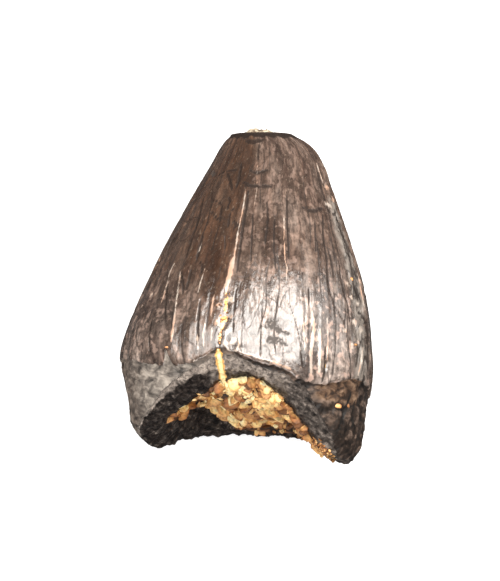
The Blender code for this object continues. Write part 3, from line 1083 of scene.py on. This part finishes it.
class Shader:
    """A material under construction, with short calls for the nodes that it needs."""

    def __init__(self, name):
        self.material = bpy.data.materials.new(name)
        self.material.use_nodes = True
        self.tree = self.material.node_tree
        self.out = self.tree.nodes["Principled BSDF"]

    def fill(self, node, inputs):
        """Sets these inputs of a node, or links them to other nodes' outputs."""
        for name, value in inputs.items():
            socket = node.inputs[name]
            if isinstance(value, bpy.types.NodeSocket):
                self.tree.links.new(value, socket)
            else:
                socket.default_value = rgba(value) if socket.type == "RGBA" else value

    def node(self, kind, inputs, **settings):
        made = self.tree.nodes.new("ShaderNode" + kind)
        for name, value in settings.items():
            setattr(made, name, value)
        self.fill(made, inputs)
        return made

    def value(self, name, output="Fac"):
        """What the mesh carries under this name for each of its points."""
        return self.node("Attribute", {}, attribute_name=name).outputs[output]

    def scaled_skin(self, skin, size, stretch, seed):
        """Places in units of a feature's size, which may be longer along the tooth."""
        scale = (1 / size, 1 / (size * stretch), 1 / size)
        inputs = {"Vector": skin, "Location": (seed, seed, seed), "Scale": scale}
        return self.node("Mapping", inputs).outputs["Vector"]

    def noise_node(self, places, scale, detail, roughness=0.5, warp=0.0):
        inputs = {"Vector": places, "Scale": scale, "Detail": detail, "Roughness": roughness}
        return self.node("TexNoise", {**inputs, "Distortion": warp})

    def noise(self, size, stretch, detail, roughness, seed, warp=0.0):
        """Noise on the tooth's skin; NOISES says what its numbers mean."""
        places = self.scaled_skin(self.value("skin", "Vector"), size, stretch, seed)
        return self.noise_node(places, 1.0, detail, roughness, warp).outputs["Fac"]

    def ramp(self, source, stops):
        """Colours or greys along a value: pairs of a place from 0 to 1 and a colour."""
        made = self.node("ValToRGB", {"Fac": source})
        elements = made.color_ramp.elements
        while len(elements) < len(stops):
            elements.new(0.5)
        for element, (place, colour) in zip(elements, stops):
            element.position = place
            element.color = rgba(colour)
        return made.outputs["Color"]

    def pattern(self, name):
        settings, stops = PATTERNS[name]
        return self.ramp(self.noise(*settings), stops)

    def mix(self, factor, first, second, how="MIX"):
        inputs = {0: factor, 6: first, 7: second}
        return self.node("Mix", inputs, data_type="RGBA", blend_type=how).outputs[2]

    def times(self, first, second):
        return self.mix(1.0, first, second, "MULTIPLY")

    def brightest(self, first, *others):
        for other in others:
            first = self.mix(1.0, first, other, "LIGHTEN")
        return first

    def layers(self, colour, rows):
        """A colour with others over it, from rows of a mask, a colour and sometimes a way to mix."""
        for mask, *over in rows:
            colour = self.mix(mask, colour, *over)
        return colour

    def ragged(self, name, low=0.38, high=0.54, size=0.05, roughness=0.4):
        """A per-point mask with crisp edges that noise breaks up; its limits may go up to 2."""
        rough = self.mix(roughness, self.value(name), self.noise(size, *RAGGED_NOISE), "ADD")
        return self.ramp(self.times(rough, 0.5), [(low / 2, 0.0), (high / 2, 1.0)])

    def crack_net(self, size, stretch, width, seed):
        """Fine cracks between cells of this size in millimetres: 1 on a crack and 0 off it."""
        skin = self.value("skin", "Vector")
        moved = self.mix(NET_WOBBLE, skin, self.noise_node(skin, *NET_NOISE).outputs["Color"], "ADD")
        inputs = {"Vector": self.scaled_skin(moved, size, stretch, seed), "Scale": 1.0}
        cells = self.node("TexVoronoi", inputs, feature="DISTANCE_TO_EDGE")
        return self.ramp(cells.outputs["Distance"], [(0.0, 1.0), (width / size, 0.0)])

    def bump(self, height, depth, normal=None):
        """A normal bent by a height, with a depth in millimetres, on top of another."""
        inputs = {"Distance": depth * MM, "Height": height}
        if normal is not None:
            inputs["Normal"] = normal
        return self.node("Bump", inputs).outputs["Normal"]

    def finish(self, colour, roughness, normal, gloss=1.0):
        inputs = {"Base Color": colour, "Roughness": roughness, "Normal": normal, "Specular Tint": gloss}
        self.fill(self.out, inputs)
        return self.material


def enamel_material():
    shader = Shader("enamel")
    shader.fill(shader.out, {"IOR": 1.6, "Specular IOR Level": 1.0})
    patches = shader.noise(*NOISES["patches"])
    wear_and_sheen = shader.value("wear_and_sheen")
    variety = shader.ramp(wear_and_sheen, [(0.1, 0.3), (0.4, 0.7)])
    # Painted shade along the flanks, together with the dark rim round the broken tip
    darkening = shader.value("darkening")
    dark = shader.ragged("dark", 0.22, 0.60, 0.05, 0.3)
    pale = shader.ragged("pale", 0.60, 0.90, 0.12, 0.9)
    net = shader.times(shader.crack_net(0.6, 2.2, 0.022, 5.0), shader.pattern("cracked"))
    smudge = shader.times(shader.ragged("smudge", 0.75, 1.15, 0.07, 1.0), shader.pattern("specks"))
    pits = shader.times(shader.pattern("pits"), shader.pattern("pitted"))
    colour = shader.layers(shader.ramp(patches, PALETTES["fresh"]), [
        # Paler worn enamel, which is also painted sheen
        (wear_and_sheen, shader.ramp(patches, PALETTES["wear_and_sheen"])),
        (0.3, shader.pattern("streaks"), "MULTIPLY"),
        (variety, shader.pattern("blotches"), "MULTIPLY"),
        (0.7, shader.pattern("bands"), "MULTIPLY"),
        (shader.times(shader.crack_net(0.45, 2.8, 0.07, 13.0), 0.55), VEIN),
        (variety, shader.pattern("mottle"), "MULTIPLY"),
        (shader.pattern("flecks"), FLECK),
        (shader.times(shader.pattern("blush"), wear_and_sheen), BLUSH),
        (net, CRACK_NET),
        (shader.ragged("scaly", 0.75, 1.2, 0.3, 0.6), shader.pattern("scales")),
        # Painted shade on the flanks, and the tip's dark rim
        (darkening, FLANK_SHADE_AND_RIM),
        (shader.times(dark, 0.85), DARK_LINE),
        # Pale filled cracks, and painted highlights where some pale lines stand for light caught by edges and
        # ribs
        (shader.times(pale, 0.65), shader.pattern("filling_and_highlight")),
        (smudge, SMUDGE),
        (shader.ragged("gold", 1.42, 1.58, 0.11, 1.0), GOLD),
    ])
    roughness = shader.layers(shader.pattern("gloss"), [(dark, 0.5), (net, 0.5), (smudge, 0.4)])
    dull = shader.brightest(dark, net, smudge, pits, darkening)
    normal = shader.bump(shader.noise(*NOISES["fine_ripples"]), 0.005)
    normal = shader.bump(shader.noise(*NOISES["ripples"]), 0.007, normal)
    return shader.finish(colour, roughness, normal, shader.ramp(dull, [(0.0, 1.0), (1.0, 0.15)]))


def dentine_material():
    shader = Shader("dentine")
    swirls = shader.noise(*NOISES["swirls"])
    colour = shader.layers(shader.ramp(swirls, PALETTES["grey"]), [
        (shader.ragged("brown", 0.3, 0.75, 0.4), shader.ramp(swirls, PALETTES["tan"])),
        (shader.ragged("brown", 0.5, 0.95, 0.3), shader.ramp(swirls, PALETTES["brown"])),
        (shader.ragged("stain", 0.45, 0.85, 0.2, 0.5), shader.ramp(swirls, PALETTES["stained"])),
        (shader.ragged("dark"), DEEP_LINE),
        (shader.ragged("gold"), GOLD),
    ])
    normal = shader.bump(shader.noise(*NOISES["dentine_pits"]), 0.015, shader.bump(swirls, 0.03))
    return shader.finish(colour, 0.45, normal)


def fracture_material():
    shader = Shader("fracture")
    grain = shader.noise(*NOISES["break_grain"])
    colour = shader.layers(shader.ramp(grain, PALETTES["outer_break"]), [
        # Darker further in: partly the break's own colour, partly painted shade in the recess, on the left
        # and underneath
        (shader.ragged("inside", 0.55, 0.95, 0.25), shader.ramp(grain, PALETTES["inner_break"])),
        (shader.ragged("inside", 1.24, 1.36, 0.2), BROWN_BESIDE_SAND),
        (shader.ragged("gold"), GOLD),
    ])
    normal = shader.bump(shader.noise(*NOISES["break_pits"]), 0.02, shader.bump(grain, 0.06))
    gloss = shader.ramp(shader.value("inside"), [(0.3, 1.0), (1.0, 0.35)])
    return shader.finish(colour, 0.38, normal, gloss)


def core_material():
    shader = Shader("core")
    colour = shader.ramp(shader.noise(*NOISES["core_grain"]), PALETTES["core"])
    return shader.finish(colour, 0.6, shader.bump(shader.noise(*NOISES["core_pits"]), 0.02))


def sand_material():
    shader = Shader("sand")
    place = shader.node("TexCoord", {}).outputs["Object"]
    grain = shader.noise_node(place, 1 / (SAND_SPECKLE * MM), 4).outputs["Fac"]
    speckle = shader.ramp(grain, [(0.38, 0.2), (0.54, 1.05)])
    colour = shader.mix(0.45, shader.ramp(shader.value("tone"), PALETTES["sand"]), speckle, "MULTIPLY")
    return shader.finish(colour, 0.55, shader.bump(grain, 0.02))


def make_floor():
    shader = Shader("floor")
    shader.fill(shader.out, {"Base Color": FLOOR_GREY, "Roughness": 0.9, "Specular IOR Level": 0.0,
                             "Emission Color": 1.0, "Emission Strength": FLOOR_GLOW})
    mesh = bpy.data.meshes.new("floor")
    half = FLOOR_SIZE / 2 * MM
    corners = [(-half, -half, 0), (half, -half, 0), (half, half, 0), (-half, half, 0)]
    mesh.from_pydata(corners, [], [(0, 1, 2, 3)])
    mesh.materials.append(shader.material)
    floor = add_object("floor", mesh)
    floor.visible_glossy = False


def make_lights():
    """Area lights that face the tooth, each as bright as its row says, and a pale world."""
    for name, direction, distance, width, height, brightness in LIGHTS:
        data = bpy.data.lights.new(name, "AREA")
        data.shape = "RECTANGLE"
        data.size = width * MM
        data.size_y = height * MM
        data.energy = brightness * math.pi * data.size * data.size_y
        data.color = LIGHT_COLOUR
        light = add_object(name, data)
        back = Vector(direction).normalized()
        side = Vector((0, 1, 0)).cross(back).normalized()
        light.location = (Vector(LIGHTS_AIM) + back * distance) * MM
        light.rotation_euler = Matrix((side, back.cross(side), back)).transposed().to_euler()
    world = bpy.data.worlds.new("studio")
    world.use_nodes = True
    background = world.node_tree.nodes["Background"]
    background.inputs["Strength"].default_value = WORLD_STRENGTH
    background.inputs["Color"].default_value = (1, 1, 1, 1)
    bpy.context.scene.world = world


def make_camera():
    away, _ = camera_axes()
    data = bpy.data.cameras.new("camera")
    data.sensor_width = SENSOR
    data.lens = SENSOR * CAMERA_DISTANCE * PIXELS_PER_MM / PHOTO_SIZE[1]
    data.clip_start = 0.01
    camera = add_object("camera", data)
    camera.location = (np.array(CAMERA_TARGET) + away * CAMERA_DISTANCE) * MM
    camera.rotation_euler = Vector(away).to_track_quat("Z", "Y").to_euler()
    bpy.context.scene.camera = camera


make_camera()
make_floor()
make_lights()
bpy.context.scene.view_settings.view_transform = "Standard"
sand = sand_material()
tooth_tree = make_tooth([enamel_material(), dentine_material(), fracture_material(), core_material()])
make_sediment(sand)
make_crack_fill(sand, tooth_tree)
